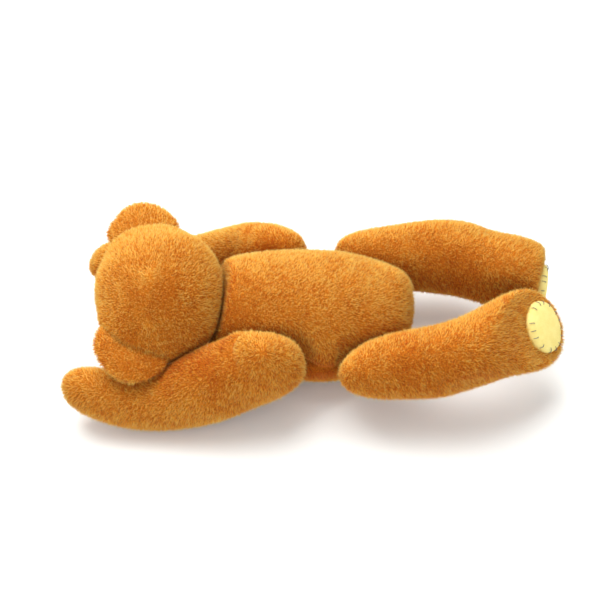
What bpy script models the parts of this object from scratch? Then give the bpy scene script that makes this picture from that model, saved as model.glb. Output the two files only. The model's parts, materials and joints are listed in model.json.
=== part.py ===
# A small jointed plush bear, lying face down with its arms above its head.
# Head towards -X, feet towards +X, its left side towards -Y, its back up, the table at z = 0.
# Every limb and the head turn on a disc joint: two hardboard discs, two washers and a cotter pin.

import math

import bmesh
import bpy
from mathutils import Matrix, Vector
from mathutils.bvhtree import BVHTree

# Driving dimensions in metres and degrees
MM = 0.001
GAP = 0.3 * MM
PLUSH = 1.8 * MM
BODY_SIDES = 12
LIMB_SIDES = 10
INNER_SIDES = 6

BODY_AT = Vector((-0.9 * MM, -2.5 * MM, 0.0))
DISH_DEPTH = 5.0 * MM
ARM_DISH = 10.4 * MM
LEFT_SHOULDER_AT = Vector((-12.0 * MM, -13.5 * MM, 17.7 * MM))
LEFT_ARM_LEAN = 0.0
LEFT_ARM_DROP = 12.7
RIGHT_SHOULDER_AT = Vector((-12.0 * MM, 14.7 * MM, 17.2 * MM))
RIGHT_ARM_LEAN = 8.0
RIGHT_ARM_DROP = 12.0

LEG_DISH = 8.4 * MM
LEFT_HIP_AT = Vector((15.0 * MM, -12.4 * MM, 17.6 * MM))
LEFT_LEG_LEAN = 15.0
LEFT_LEG_RISE = 5.5
LEFT_LEG_FULLNESS = 1.0
LEFT_LEG_REACH = 0.975
RIGHT_HIP_AT = Vector((15.0 * MM, 12.4 * MM, 18.1 * MM))
RIGHT_LEG_LEAN = 15.0
RIGHT_LEG_RISE = -0.4
RIGHT_LEG_FULLNESS = 1.03
RIGHT_LEG_REACH = 0.965

NECK_AT = Vector((-23.3 * MM, -0.9 * MM, 20.7 * MM))
NECK_TILT = 18.0
NECK_SWING = 3.5
HEAD_TURN = 20.0
HEAD_CENTRE = 14.2 * MM

EAR_CROWN = 5.2 * MM
EAR_SIDE = 14.8 * MM
EAR_BACK = 1.0 * MM
EAR_RADIUS = 8.7 * MM
EAR_HALF_THICKNESS = 2.6 * MM

EYE_RADIUS = 1.4 * MM
EYE_PROUD = 0.3 * MM
EYE_TOWARD = (0.8, 0.4, 0.3)
NOSE_WIDTH = 5.4 * MM
NOSE_HEIGHT = 3.6 * MM
NOSE_PROUD = 0.9 * MM
NOSE_TOWARD = (1.0, 0.0, -0.02)

LEFT_SOLE_AT = Vector((54.3 * MM, -9.6 * MM, 21.7 * MM))
LEFT_SOLE_UP = 39.0
LEFT_SOLE_TOWARDS_LEFT = 30.0
RIGHT_SOLE_AT = Vector((58.0 * MM, 8.6 * MM, 16.8 * MM))
RIGHT_SOLE_UP = 4.0
RIGHT_SOLE_TOWARDS_LEFT = 16.0
PAD_LENGTH = 12.8 * MM
PAD_WIDTH = 11.8 * MM
PAD_CROWN = 1.9 * MM
PAD_EDGE = 0.9 * MM
PAD_LAP = 1.2 * MM

DISC_THICKNESS = 1.2 * MM
WASHER_THICKNESS = 0.4 * MM
WASHER_RADIUS = 3.0 * MM
ARM_DISC = 4.5 * MM
LEG_DISC = 4.8 * MM
NECK_DISC = 6.0 * MM
BORE = 1.1 * MM
WIRE = 0.35 * MM
EYELET = 1.1 * MM
CURL = 1.15 * MM
DISC_STEPS = 20
WASHER_STEPS = 16
DISH_STEPS = 18
CUT_STEPS = 14
EYELET_STEPS = 5
EAR_SIDES = 20
NOSE_SIDES = 16
EYE_SIDES = 12
BALL_RINGS = 8
WELD = 0.000001
ON_AXIS = 0.00001

# Soft forms, in millimetres, from one closed end to the other:
# along the piece, out from its joint, up, half thickness outwards, half width upwards
BODY_FORM = (
    (-29.0, 0.0, 20.6, 0.0, 0.0),
    (-27.5, 0.0, 20.3, 7.7, 7.7),
    (-22.0, 0.0, 19.0, 12.6, 12.4),
    (-12.0, 0.0, 17.3, 15.4, 15.1),
    (-2.0, 0.0, 15.8, 16.8, 16.6),
    (8.0, 0.0, 15.5, 16.4, 16.4),
    (17.0, 0.0, 16.3, 13.9, 13.7),
    (23.5, 0.0, 17.3, 8.9, 8.9),
    (26.0, 0.0, 17.8, 0.0, 0.0),
)
HEAD_FORM = (
    (-16.6, 0.0, 0.0, 0.0, 0.0),
    (-14.4, 0.0, 0.0, 8.7, 8.7),
    (-8.5, 0.0, 0.0, 14.6, 14.6),
    (0.0, 0.0, 0.0, 16.6, 16.8),
    (7.5, -0.7, 0.0, 15.3, 15.9),
    (13.5, -1.6, 0.0, 10.6, 11.2),
    (19.4, -2.6, 0.0, 7.9, 8.1),
    (24.8, -3.0, 0.0, 6.2, 6.4),
    (27.5, -3.0, 0.0, 0.0, 0.0),
)
ARM_FORM = (
    (-11.0, 5.4, 0.0, 0.0, 0.0),
    (-9.6, 5.4, 0.0, 4.8, 6.2),
    (-4.0, 5.4, 0.2, 7.2, 9.7),
    (3.0, 6.0, 0.2, 7.4, 10.5),
    (10.0, 7.8, -1.9, 6.8, 9.9),
    (18.0, 8.3, -3.4, 6.8, 9.4),
    (27.0, 8.0, -4.6, 7.0, 8.1),
    (36.0, 7.5, -2.4, 6.7, 7.9),
    (43.0, 6.8, 1.6, 5.8, 7.5),
    (47.2, 6.4, 2.8, 4.0, 5.0),
    (48.7, 6.2, 3.2, 0.0, 0.0),
)
LEG_FORM = (
    (-11.8, 6.2, 0.0, 0.0, 0.0),
    (-10.0, 6.2, 0.0, 3.9, 4.5),
    (-4.5, 6.2, 0.0, 6.6, 7.2),
    (3.0, 6.8, -0.2, 7.7, 8.5),
    (12.0, 9.0, 0.2, 8.7, 9.4),
    (22.0, 10.7, 1.1, 9.2, 10.3),
    (29.5, 8.4, 2.7, 8.3, 8.9),
    (36.8, 8.0, 1.4, 9.8, 11.2),
    (44.6, 7.7, 0.7, 8.9, 9.7),
    (49.0, 7.6, 0.4, 5.2, 5.9),
    (50.8, 7.6, 0.2, 0.0, 0.0),
)

LEFT = -1
RIGHT = 1
SIDE_NAMES = {LEFT: "left", RIGHT: "right"}
LAYERS = (("cover", 0.0), ("hollow", PLUSH), ("stuffing", PLUSH + GAP))
UP = Vector((0.0, 0.0, 1.0))
AHEAD = Vector((1.0, 0.0, 0.0))
TABLE = (Vector((0.0, 0.0, 0.0)), -UP)
ARMS = {
    LEFT: (LEFT_SHOULDER_AT, LEFT_ARM_LEAN, LEFT_ARM_DROP),
    RIGHT: (RIGHT_SHOULDER_AT, RIGHT_ARM_LEAN, RIGHT_ARM_DROP),
}
LEGS = {
    LEFT: (LEFT_HIP_AT, LEFT_LEG_LEAN, LEFT_LEG_RISE, LEFT_LEG_FULLNESS, LEFT_LEG_REACH),
    RIGHT: (RIGHT_HIP_AT, RIGHT_LEG_LEAN, RIGHT_LEG_RISE, RIGHT_LEG_FULLNESS, RIGHT_LEG_REACH),
}
SOLES = {
    LEFT: (LEFT_SOLE_AT, LEFT_SOLE_UP, LEFT_SOLE_TOWARDS_LEFT),
    RIGHT: (RIGHT_SOLE_AT, RIGHT_SOLE_UP, RIGHT_SOLE_TOWARDS_LEFT),
}


def clear_scene():
    for old in list(bpy.data.objects):
        bpy.data.objects.remove(old)


def new_collection(name):
    collection = bpy.data.collections.new(name)
    bpy.context.scene.collection.children.link(collection)
    return collection


def finish(name, colour, roughness, metallic=0.0):
    material = bpy.data.materials.new(name)
    material.use_nodes = True
    shader = material.node_tree.nodes["Principled BSDF"]
    shader.inputs["Base Color"].default_value = (*colour, 1.0)
    shader.inputs["Roughness"].default_value = roughness
    shader.inputs["Metallic"].default_value = metallic
    material.diffuse_color = (*colour, 1.0)
    return material


def axes(outward, along):
    z = outward.normalized()
    x = (along - z * along.dot(z)).normalized()
    return Matrix((x, z.cross(x), z)).transposed()


def joint_frame(at, outward, along):
    # Z runs out along the joint's axis, X along the piece that turns on it
    return Matrix.LocRotScale(BODY_AT + at, axes(outward, along), None)


def joint_empty(name, frame):
    empty = bpy.data.objects.new(name, None)
    PARTS.objects.link(empty)
    empty.empty_display_size = 0.01
    empty.matrix_world = frame
    return empty


def place(name, mesh, frame, collection, parent=None):
    piece = bpy.data.objects.new(name, mesh)
    collection.objects.link(piece)
    piece.matrix_world = frame
    if parent is not None:
        piece.parent = parent
        piece.matrix_parent_inverse = parent.matrix_world.inverted()
    if collection is CUTTERS:
        piece.hide_render = True
        piece.display_type = "WIRE"
    return piece


def dress(piece, material):
    piece.data.materials.clear()
    piece.data.materials.append(material)
    piece.data.shade_smooth()
    piece.data.set_sharp_from_angle(angle=math.radians(40.0))
    return piece


def settle(piece):
    # Turns a piece's modifiers into its own mesh
    bpy.context.view_layer.update()
    graph = bpy.context.evaluated_depsgraph_get()
    mesh = bpy.data.meshes.new_from_object(piece.evaluated_get(graph))
    piece.modifiers.clear()
    piece.data = mesh
    return piece


def trim(piece, planes):
    # Cuts off what lies beyond each plane and closes the cut with one flat face
    inward = piece.matrix_world.inverted()
    shape = bmesh.new()
    shape.from_mesh(piece.data)
    for point, normal in planes:
        local_normal = (inward.to_3x3() @ normal).normalized()
        everything = shape.verts[:] + shape.edges[:] + shape.faces[:]
        cut = bmesh.ops.bisect_plane(
            shape,
            geom=everything,
            dist=0.1 * WELD,
            plane_co=inward @ point,
            plane_no=local_normal,
            clear_outer=True,
        )
        rim = [edge for edge in cut["geom_cut"] if isinstance(edge, bmesh.types.BMEdge)]
        if rim:
            bmesh.ops.edgeloop_fill(shape, edges=rim)
    bmesh.ops.remove_doubles(shape, verts=shape.verts[:], dist=WELD)
    bmesh.ops.recalc_face_normals(shape, faces=shape.faces[:])
    shape.to_mesh(piece.data)
    shape.free()
    return piece


def weld(mesh):
    # Joins what meets, and turns every face outwards
    shape = bmesh.new()
    shape.from_mesh(mesh)
    bmesh.ops.remove_doubles(shape, verts=shape.verts[:], dist=WELD)
    bmesh.ops.recalc_face_normals(shape, faces=shape.faces[:])
    shape.to_mesh(mesh)
    shape.free()


def local_plane(frame, offset, sign):
    # A plane square to the joint's axis: sign 1 cuts off what is further out, -1 what is further in
    normal = frame.to_3x3() @ Vector((0.0, 0.0, 1.0))
    return frame.translation + normal * offset, normal * sign


def soft_form(name, frame, form, sides, inset, planes, collection, hand=1, parent=None):
    # A sphere's rings drawn out to the form's stations, smoothed, then cut flat at the planes
    shape = bmesh.new()
    last = len(form) - 1
    bmesh.ops.create_uvsphere(shape, u_segments=sides, v_segments=last, radius=1.0)
    # smoothing draws a ring of few sides in by this much
    drawn_in = (3.0 + math.cos(2.0 * math.pi / sides)) / 4.0
    middle = 0.5 * (form[0][0] + form[last][0]) * MM
    half_length = 0.5 * (form[last][0] - form[0][0]) * MM
    shorter = 1.0 - inset / half_length
    for vert in shape.verts:
        polar = math.acos(max(-1.0, min(1.0, vert.co.z)))
        ring = round(polar / math.pi * last)
        along, out, up, half_out, half_up = (value * MM for value in form[ring])
        around = math.atan2(vert.co.y, vert.co.x)
        half_out = max(0.0, half_out - inset) / drawn_in
        half_up = max(0.0, half_up - inset) / drawn_in
        vert.co = Vector((
            middle + (along - middle) * shorter,
            hand * (up + half_up * math.sin(around)),
            out + half_out * math.cos(around),
        ))
    mesh = bpy.data.meshes.new(name)
    shape.to_mesh(mesh)
    shape.free()
    weld(mesh)
    piece = place(name, mesh, frame, collection, parent)
    smoother = piece.modifiers.new("smooth", "SUBSURF")
    smoother.levels = 1
    smoother.render_levels = 1
    return trim(settle(piece), planes)


def turned(name, outline, closed, steps, frame, collection, parent=None):
    # An outline of (radius, height), top first down its outer side, turned about the joint's axis
    mesh = bpy.data.meshes.new(name)
    shape = bmesh.new()
    verts = [shape.verts.new((radius, 0.0, height)) for radius, height in outline]
    for first, second in zip(verts, verts[1:]):
        shape.edges.new((first, second))
    if closed:
        shape.edges.new((verts[-1], verts[0]))
    shape.to_mesh(mesh)
    shape.free()
    piece = place(name, mesh, frame, collection, parent)
    turn = piece.modifiers.new("turn", "SCREW")
    turn.steps = steps
    turn.render_steps = steps
    turn.use_merge_vertices = True
    turn.merge_threshold = ON_AXIS
    settle(piece)
    weld(piece.data)
    return piece


def ring(name, inner, outer, low, high, steps, frame, parent):
    outline = [(inner, high), (outer, high), (outer, low), (inner, low)]
    return turned(name, outline, True, steps, frame, PARTS, parent)


def round_cutter(name, radius, low, high, frame):
    outline = [(0.0, high), (radius, high), (radius, low), (0.0, low)]
    return turned(name, outline, False, CUT_STEPS, frame, CUTTERS)


def cut_by(piece, cutters):
    for cutter in cutters:
        cut = piece.modifiers.new("cut_" + cutter.name, "BOOLEAN")
        cut.operation = "DIFFERENCE"
        cut.solver = "EXACT"
        cut.object = cutter
    return piece


def wire_piece(name, route, radius, frame, parent):
    # A round wire along the route, its caps welded so that it is one closed body
    curve = bpy.data.curves.new(name, "CURVE")
    curve.dimensions = "3D"
    curve.bevel_depth = radius
    curve.bevel_resolution = 1
    curve.use_fill_caps = True
    spline = curve.splines.new("POLY")
    spline.points.add(len(route) - 1)
    for point, at in zip(spline.points, route):
        point.co = (*at, 1.0)
    wire = place(name, curve, frame, PARTS)
    bpy.context.view_layer.update()
    graph = bpy.context.evaluated_depsgraph_get()
    mesh = bpy.data.meshes.new_from_object(wire.evaluated_get(graph))
    bpy.data.objects.remove(wire)
    weld(mesh)
    return place(name, mesh, frame, PARTS, parent)


def cotter_route():
    # One wire: a curled leg, up the shank, round the eye, down the shank and the other curled leg
    stack = 0.5 * GAP + PLUSH + DISC_THICKNESS + WASHER_THICKNESS + 3.0 * GAP + WIRE
    shank = WIRE + 0.5 * GAP
    leg = []
    for turn in range(0, -181, -30):
        angle = math.radians(turn)
        leg.append((shank + CURL + CURL * math.cos(angle), 0.0, CURL * math.sin(angle) - stack))
    leg.append((shank, 0.0, 0.0))
    first = math.asin(shank / EYELET) - 0.5 * math.pi
    middle = stack + math.sqrt(EYELET ** 2 - shank ** 2)
    for step in range(EYELET_STEPS):
        angle = first + (0.5 * math.pi - first) * step / EYELET_STEPS
        leg.append((EYELET * math.cos(angle), 0.0, middle + EYELET * math.sin(angle)))
    other_leg = [(-x, y, z) for x, y, z in reversed(leg)]
    return leg + [(0.0, 0.0, middle + EYELET)] + other_leg


def disc_joint(name, frame, radius, mover):
    # The hardware of one joint, and the cutters of its bore and of the pockets it lies in
    face = 0.5 * GAP + PLUSH + GAP
    seat = face + DISC_THICKNESS + GAP
    reach = seat + WASHER_THICKNESS + 2.0 * EYELET + 3.0 * WIRE + 2.0 * GAP
    for label, side, parent in (("outer", 1, mover), ("inner", -1, BODY)):
        low, high = sorted((side * face, side * (face + DISC_THICKNESS)))
        disc = ring(f"{name}_{label}_disc", BORE, radius, low, high, DISC_STEPS, frame, parent)
        dress(disc, HARDBOARD)
        low, high = sorted((side * seat, side * (seat + WASHER_THICKNESS)))
        washer = ring(
            f"{name}_{label}_washer", BORE, WASHER_RADIUS, low, high, WASHER_STEPS, frame, parent)
        dress(washer, STEEL)
    pin = wire_piece(f"{name}_cotter_pin", cotter_route(), WIRE, frame, BODY)
    dress(pin, STEEL)
    bore = round_cutter(f"{name}_bore", BORE, -face, face, frame)
    near = face - 0.5 * GAP
    outer = round_cutter(f"{name}_outer_pocket", radius + GAP, near, reach, frame)
    inner = round_cutter(f"{name}_inner_pocket", radius + GAP, -reach, -near, frame)
    return bore, outer, inner


def sole_frame(side, depth):
    # Z out of the sole, X towards the toes
    at, up, to_left = SOLES[side]
    up = math.radians(up)
    to_left = math.radians(to_left)
    normal = Vector((
        math.cos(up) * math.cos(to_left),
        -math.cos(up) * math.sin(to_left),
        math.sin(up),
    ))
    return joint_frame(at - normal * depth, normal, -UP)


def limb(name, frame, form, radius, end_planes, table):
    # Cover, stuffing and joint of one limb; its inner face is flat against the body
    hand = 1 if (frame.to_3x3() @ Vector((0.0, 1.0, 0.0))).z > 0.0 else -1
    mover = joint_empty(f"{name}_joint", frame)
    bore, outer, inner = disc_joint(name, frame, radius, mover)
    cover_planes = [local_plane(frame, 0.5 * GAP, -1)] + end_planes[:1] + table
    hollow_planes = [local_plane(frame, 0.5 * GAP + PLUSH, -1)] + end_planes[1:2]
    stuffing_planes = [local_plane(frame, 1.5 * GAP + PLUSH, -1)] + end_planes[2:]
    cover = soft_form(
        f"{name}_cover", frame, form, LIMB_SIDES, 0.0, cover_planes, PARTS, hand, mover)
    hollow = soft_form(
        f"{name}_hollow", frame, form, INNER_SIDES, PLUSH, hollow_planes, CUTTERS, hand)
    stuffing = soft_form(
        f"{name}_stuffing", frame, form, INNER_SIDES, PLUSH + GAP, stuffing_planes, PARTS, hand,
        mover)
    cut_by(dress(cover, GOLDEN_PLUSH), [hollow, outer, bore])
    cut_by(dress(stuffing, WOOD_WOOL), [outer])
    return mover, cover, bore, inner


def dish(name, radius, inset, frame):
    # A joint draws the body's side in to a shallow dish, its rim flaring outwards at 45 degrees
    mesh = bpy.data.meshes.new(name)
    flat = radius + inset * (math.sqrt(2.0) - 1.0)
    depth = DISH_DEPTH + 2.0 * inset
    shape = bmesh.new()
    bmesh.ops.create_cone(
        shape, cap_ends=True, segments=DISH_STEPS, radius1=flat, radius2=flat + depth, depth=depth)
    bmesh.ops.translate(
        shape, verts=shape.verts[:], vec=(0.0, 0.0, 0.5 * depth - 0.5 * GAP - inset))
    shape.to_mesh(mesh)
    shape.free()
    return place(name, mesh, frame, CUTTERS)


def dishes(name, radius, frame):
    # The body's outside, the inside of its cloth and its stuffing, each a layer further in
    return [dish(f"{name}_{layer}_dish", radius, inset, frame) for layer, inset in LAYERS]


def limb_frame(side, at, lean, rise, ahead):
    # The joint's axis leans towards the feet, and the limb rises from its joint
    lean = math.radians(lean)
    rise = math.radians(rise)
    outward = Vector((math.sin(lean), side * math.cos(lean), 0.0))
    level = Vector((math.cos(lean), -side * math.sin(lean), 0.0)) * ahead
    return joint_frame(at, outward, level * math.cos(rise) + UP * math.sin(rise))


def arm(side):
    at, lean, drop = ARMS[side]
    frame = limb_frame(side, at, lean, -drop, -1.0)
    name = f"{SIDE_NAMES[side]}_arm"
    _, _, bore, pocket = limb(name, frame, ARM_FORM, ARM_DISC, [], [TABLE])
    return bore, pocket, dishes(name, ARM_DISH, frame)


def leg(side):
    at, lean, rise, fullness, reach = LEGS[side]
    frame = limb_frame(side, at, lean, rise, 1.0)
    form = []
    for along, out, up, half_out, half_up in LEG_FORM:
        out += half_out * (fullness - 1.0)
        form.append((along * reach, out, up, half_out * fullness, half_up * fullness))
    ends = []
    for depth in (0.0, PLUSH, PLUSH + GAP):
        sole = sole_frame(side, depth)
        ends.append((sole.translation, sole.to_3x3() @ Vector((0.0, 0.0, 1.0))))
    name = f"{SIDE_NAMES[side]}_leg"
    mover, cover, bore, pocket = limb(name, frame, form, LEG_DISC, ends, [])
    cut_by(cover, [foot_opening(side)])
    foot_pad(side, mover)
    return bore, pocket, dishes(name, LEG_DISH, frame)


def stretch(mesh, length, width):
    for vert in mesh.vertices:
        vert.co.x *= length
        vert.co.y *= width


def foot_opening(side):
    # The leg is sewn from an open tube; the pad's edge laps over its mouth
    opening = round_cutter(
        f"{SIDE_NAMES[side]}_foot_opening", 1.0, -2.0 * PLUSH, PLUSH, sole_frame(side, 0.0))
    stretch(opening.data, 0.5 * PAD_LENGTH - PAD_LAP, 0.5 * PAD_WIDTH - PAD_LAP)
    return opening


def foot_pad(side, mover):
    # A felt oval, crowned by the stuffing behind it
    outline = [(0.0, PAD_CROWN)]
    for step in range(1, 5):
        angle = math.radians(90.0 - 22.5 * step)
        outline.append((math.cos(angle), PAD_EDGE + (PAD_CROWN - PAD_EDGE) * math.sin(angle)))
    outline += [(1.0, 0.0), (0.0, 0.0)]
    pad = turned(
        f"{SIDE_NAMES[side]}_foot_pad", outline, False, DISC_STEPS, sole_frame(side, -GAP), PARTS,
        mover)
    stretch(pad.data, 0.5 * PAD_LENGTH, 0.5 * PAD_WIDTH)
    return dress(pad, YELLOW_FELT)


def ball(name, turned_to, sizes, sides, frame, collection, parent=None):
    # A ball drawn out to three half sizes and moved within its frame
    shape = bmesh.new()
    bmesh.ops.create_uvsphere(shape, u_segments=sides, v_segments=BALL_RINGS, radius=1.0)
    for vert in shape.verts:
        vert.co = turned_to @ Vector([size * part for size, part in zip(sizes, vert.co)])
    mesh = bpy.data.meshes.new(name)
    shape.to_mesh(mesh)
    shape.free()
    weld(mesh)
    return place(name, mesh, frame, collection, parent)


def on_face(cover, direction):
    # The point of the head's skin in a direction from its centre, and the skin's slope there
    middle = Vector((0.0, 0.0, HEAD_CENTRE))
    faces = [face.vertices[:] for face in cover.data.polygons]
    skin = BVHTree.FromPolygons([vert.co for vert in cover.data.vertices], faces)
    toward = Vector(direction).normalized()
    point, normal, _, _ = skin.ray_cast(middle + toward * 2.0 * HEAD_CENTRE, -toward)
    return point, normal


def head():
    tilt = math.radians(NECK_TILT)
    swing = math.radians(NECK_SWING)
    outward = Vector((
        -math.cos(tilt) * math.cos(swing),
        -math.cos(tilt) * math.sin(swing),
        math.sin(tilt),
    ))
    face = Vector((-math.sin(tilt), 0.0, -math.cos(tilt)))
    face.rotate(Matrix.Rotation(math.radians(-HEAD_TURN), 3, outward))
    frame = joint_frame(NECK_AT, outward, face)
    mover = joint_empty("neck_joint", frame)
    bore, outer, inner = disc_joint("neck", frame, NECK_DISC, mover)
    form = [(along, out + HEAD_CENTRE / MM, up, half_out, half_up)
            for along, out, up, half_out, half_up in HEAD_FORM]
    cover = soft_form(
        "head_cover", frame, form, BODY_SIDES, 0.0, [local_plane(frame, 0.5 * GAP, -1), TABLE],
        PARTS, 1, mover)
    hollow = soft_form(
        "head_hollow", frame, form, INNER_SIDES, PLUSH,
        [local_plane(frame, 0.5 * GAP + PLUSH, -1)], CUTTERS)
    stuffing = soft_form(
        "head_stuffing", frame, form, INNER_SIDES, PLUSH + GAP,
        [local_plane(frame, 1.5 * GAP + PLUSH, -1)], PARTS, 1, mover)
    skin = soft_form("head_skin", frame, form, BODY_SIDES, -GAP, [], CUTTERS)
    cut_by(dress(cover, GOLDEN_PLUSH), [hollow, outer, bore])
    cut_by(dress(stuffing, WOOD_WOOL), [outer])
    across = frame.to_3x3() @ Vector((0.0, 1.0, 0.0))
    for side in (LEFT, RIGHT):
        hand = side if across.y > 0.0 else -side
        ear_at = Matrix.Translation((-EAR_BACK, hand * EAR_SIDE, HEAD_CENTRE + EAR_CROWN))
        ear_at = ear_at @ Matrix.Rotation(math.radians(90.0), 4, "Y")
        ear = ball(
            f"{SIDE_NAMES[side]}_ear", ear_at, (EAR_RADIUS, EAR_RADIUS, EAR_HALF_THICKNESS),
            EAR_SIDES, frame, PARTS, mover)
        cut_by(dress(ear, GOLDEN_PLUSH), [skin])
        toward = (EYE_TOWARD[0], hand * EYE_TOWARD[1], EYE_TOWARD[2])
        point, normal = on_face(cover, toward)
        eye_at = Matrix.Translation(point + normal * EYE_PROUD)
        eye = ball(
            f"{SIDE_NAMES[side]}_eye", eye_at, (EYE_RADIUS,) * 3, EYE_SIDES, frame, PARTS, mover)
        dress(eye, BLACK_GLASS)
        socket = ball(
            f"{SIDE_NAMES[side]}_eye_socket", eye_at, (EYE_RADIUS + GAP,) * 3, EYE_SIDES, frame,
            CUTTERS)
        cut_by(cover, [socket])
    point, normal = on_face(cover, NOSE_TOWARD)
    nose_at = Matrix.LocRotScale(point, axes(normal, Vector((0.0, 1.0, 0.0))), None)
    nose = ball(
        "nose", nose_at, (0.5 * NOSE_WIDTH, 0.5 * NOSE_HEIGHT, NOSE_PROUD + GAP), NOSE_SIDES,
        frame, PARTS, mover)
    cut_by(dress(nose, BLACK_THREAD), [skin])
    return frame, bore, inner


def body(neck, bores, pockets, limb_dishes):
    frame = BODY.matrix_world.copy()
    outer, inner, filled = zip(*limb_dishes)
    cover = soft_form(
        "body_cover", frame, BODY_FORM, BODY_SIDES, 0.0, [local_plane(neck, -0.5 * GAP, 1), TABLE],
        PARTS, 1, BODY)
    hollow = soft_form(
        "body_hollow", frame, BODY_FORM, INNER_SIDES, PLUSH,
        [local_plane(neck, -0.5 * GAP - PLUSH, 1)], CUTTERS)
    stuffing = soft_form(
        "body_stuffing", frame, BODY_FORM, INNER_SIDES, PLUSH + GAP,
        [local_plane(neck, -1.5 * GAP - PLUSH, 1)], PARTS, 1, BODY)
    cut_by(hollow, inner)
    cut_by(dress(cover, GOLDEN_PLUSH), [hollow, *outer, *pockets, *bores])
    cut_by(dress(stuffing, WOOD_WOOL), [*filled, *pockets])


clear_scene()
PARTS = new_collection("jointed_bear")
CUTTERS = new_collection("cutters")
GOLDEN_PLUSH = finish("golden_plush", (0.58, 0.20, 0.03), 0.95)
YELLOW_FELT = finish("yellow_felt", (0.93, 0.72, 0.24), 0.9)
WOOD_WOOL = finish("wood_wool", (0.72, 0.58, 0.38), 0.95)
HARDBOARD = finish("hardboard", (0.30, 0.19, 0.11), 0.8)
STEEL = finish("plated_steel", (0.62, 0.62, 0.60), 0.35, 1.0)
BLACK_GLASS = finish("black_glass", (0.01, 0.01, 0.01), 0.05)
BLACK_THREAD = finish("black_thread", (0.02, 0.02, 0.02), 0.8)

BODY = joint_empty("body_frame", joint_frame(Vector(), Vector((0.0, -1.0, 0.0)), AHEAD))
NECK, NECK_BORE, NECK_POCKET = head()
LIMBS = [piece(side) for side in (LEFT, RIGHT) for piece in (arm, leg)]
body(
    NECK,
    [NECK_BORE] + [bore for bore, _, _ in LIMBS],
    [NECK_POCKET] + [pocket for _, pocket, _ in LIMBS],
    [cutters for _, _, cutters in LIMBS],
)
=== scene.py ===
import json
import math

import bmesh
import bpy
import numpy as np
from mathutils import Matrix, Vector
from mathutils.bvhtree import BVHTree


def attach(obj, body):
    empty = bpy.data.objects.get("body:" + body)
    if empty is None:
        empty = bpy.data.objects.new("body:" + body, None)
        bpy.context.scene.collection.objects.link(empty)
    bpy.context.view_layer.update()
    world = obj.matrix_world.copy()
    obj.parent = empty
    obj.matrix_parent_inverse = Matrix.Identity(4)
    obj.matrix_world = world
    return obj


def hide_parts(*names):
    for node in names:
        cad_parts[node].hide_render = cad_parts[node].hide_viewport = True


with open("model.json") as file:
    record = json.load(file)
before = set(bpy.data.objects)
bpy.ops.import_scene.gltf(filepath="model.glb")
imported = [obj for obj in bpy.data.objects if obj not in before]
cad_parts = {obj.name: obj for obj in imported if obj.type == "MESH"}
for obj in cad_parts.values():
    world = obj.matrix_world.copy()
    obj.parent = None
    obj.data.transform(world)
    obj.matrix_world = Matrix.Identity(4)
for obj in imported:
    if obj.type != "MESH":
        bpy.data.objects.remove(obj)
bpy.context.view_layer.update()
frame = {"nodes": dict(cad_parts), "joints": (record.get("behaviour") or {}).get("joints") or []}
mm = 0.001
up = Vector((0.0, 0.0, 1.0))
ahead = Vector((1.0, 0.0, 0.0))


# Small helpers for node trees

def addNode(tree, kind, values=None, **settings):
    node = tree.nodes.new(kind)
    for key, value in settings.items():
        setattr(node, key, value)
    for key, value in (values or {}).items():
        if isinstance(value, bpy.types.NodeSocket):
            tree.links.new(value, node.inputs[key])
        else:
            node.inputs[key].default_value = value
    return node


def maths(tree, operation, first, second=0.0, third=0.0):
    values = {0: first, 1: second, 2: third}
    return addNode(tree, "ShaderNodeMath", values, operation=operation).outputs[0]


def chained(tree, operation, value, *others):
    for other in others:
        value = maths(tree, operation, value, other)
    return value


def vectors(tree, operation, first, second=(0.0, 0.0, 0.0)):
    values = {0: first, "Scale" if operation == "SCALE" else 1: second}
    return addNode(tree, "ShaderNodeVectorMath", values, operation=operation).outputs[0]


def partsOf(tree, vector):
    return addNode(tree, "ShaderNodeSeparateXYZ", {"Vector": vector}).outputs


def remapped(tree, value, low, high, toLow=0.0, toHigh=1.0):
    values = {"Value": value, "From Min": low, "From Max": high, "To Min": toLow, "To Max": toHigh}
    return addNode(tree, "ShaderNodeMapRange", values).outputs["Result"]


def ramp(tree, value, stops):
    node = addNode(tree, "ShaderNodeValToRGB", {"Fac": value})
    band = node.color_ramp
    while len(band.elements) < len(stops):
        band.elements.new(0.5)
    for element, (place, colour) in zip(band.elements, stops):
        element.position = place
        element.color = (*colour, 1.0)
    return node.outputs["Color"]


def mixed(tree, share, first, second):
    values = {0: share, 6: first, 7: second}
    return addNode(tree, "ShaderNodeMix", values, data_type="RGBA").outputs[2]


def noise(tree, place, scale, detail, roughness=0.5, output="Fac"):
    return addNode(tree, "ShaderNodeTexNoise", {
        "Vector": place, "Scale": scale, "Detail": detail, "Roughness": roughness}).outputs[output]


def newGroup(name, kind, inputs, outputs):
    # Inputs and outputs are given as the labels of each type of socket
    tree = bpy.data.node_groups.new(name, kind)
    for way, sockets in (("INPUT", inputs), ("OUTPUT", outputs)):
        for socketType, labels in sockets.items():
            for label in labels:
                tree.interface.new_socket(label, in_out=way, socket_type="NodeSocket" + socketType)
    return tree, tree.nodes.new("NodeGroupInput").outputs, tree.nodes.new("NodeGroupOutput").inputs


def newMaterial(name, roughness, metallic=0.0, specular=0.5):
    material = bpy.data.materials.new(name)
    material.use_nodes = True
    shader = material.node_tree.nodes["Principled BSDF"]
    shader.inputs["Roughness"].default_value = roughness
    shader.inputs["Metallic"].default_value = metallic
    shader.inputs["Specular IOR Level"].default_value = specular
    return material, material.node_tree, shader


# Shared surface effects

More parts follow.
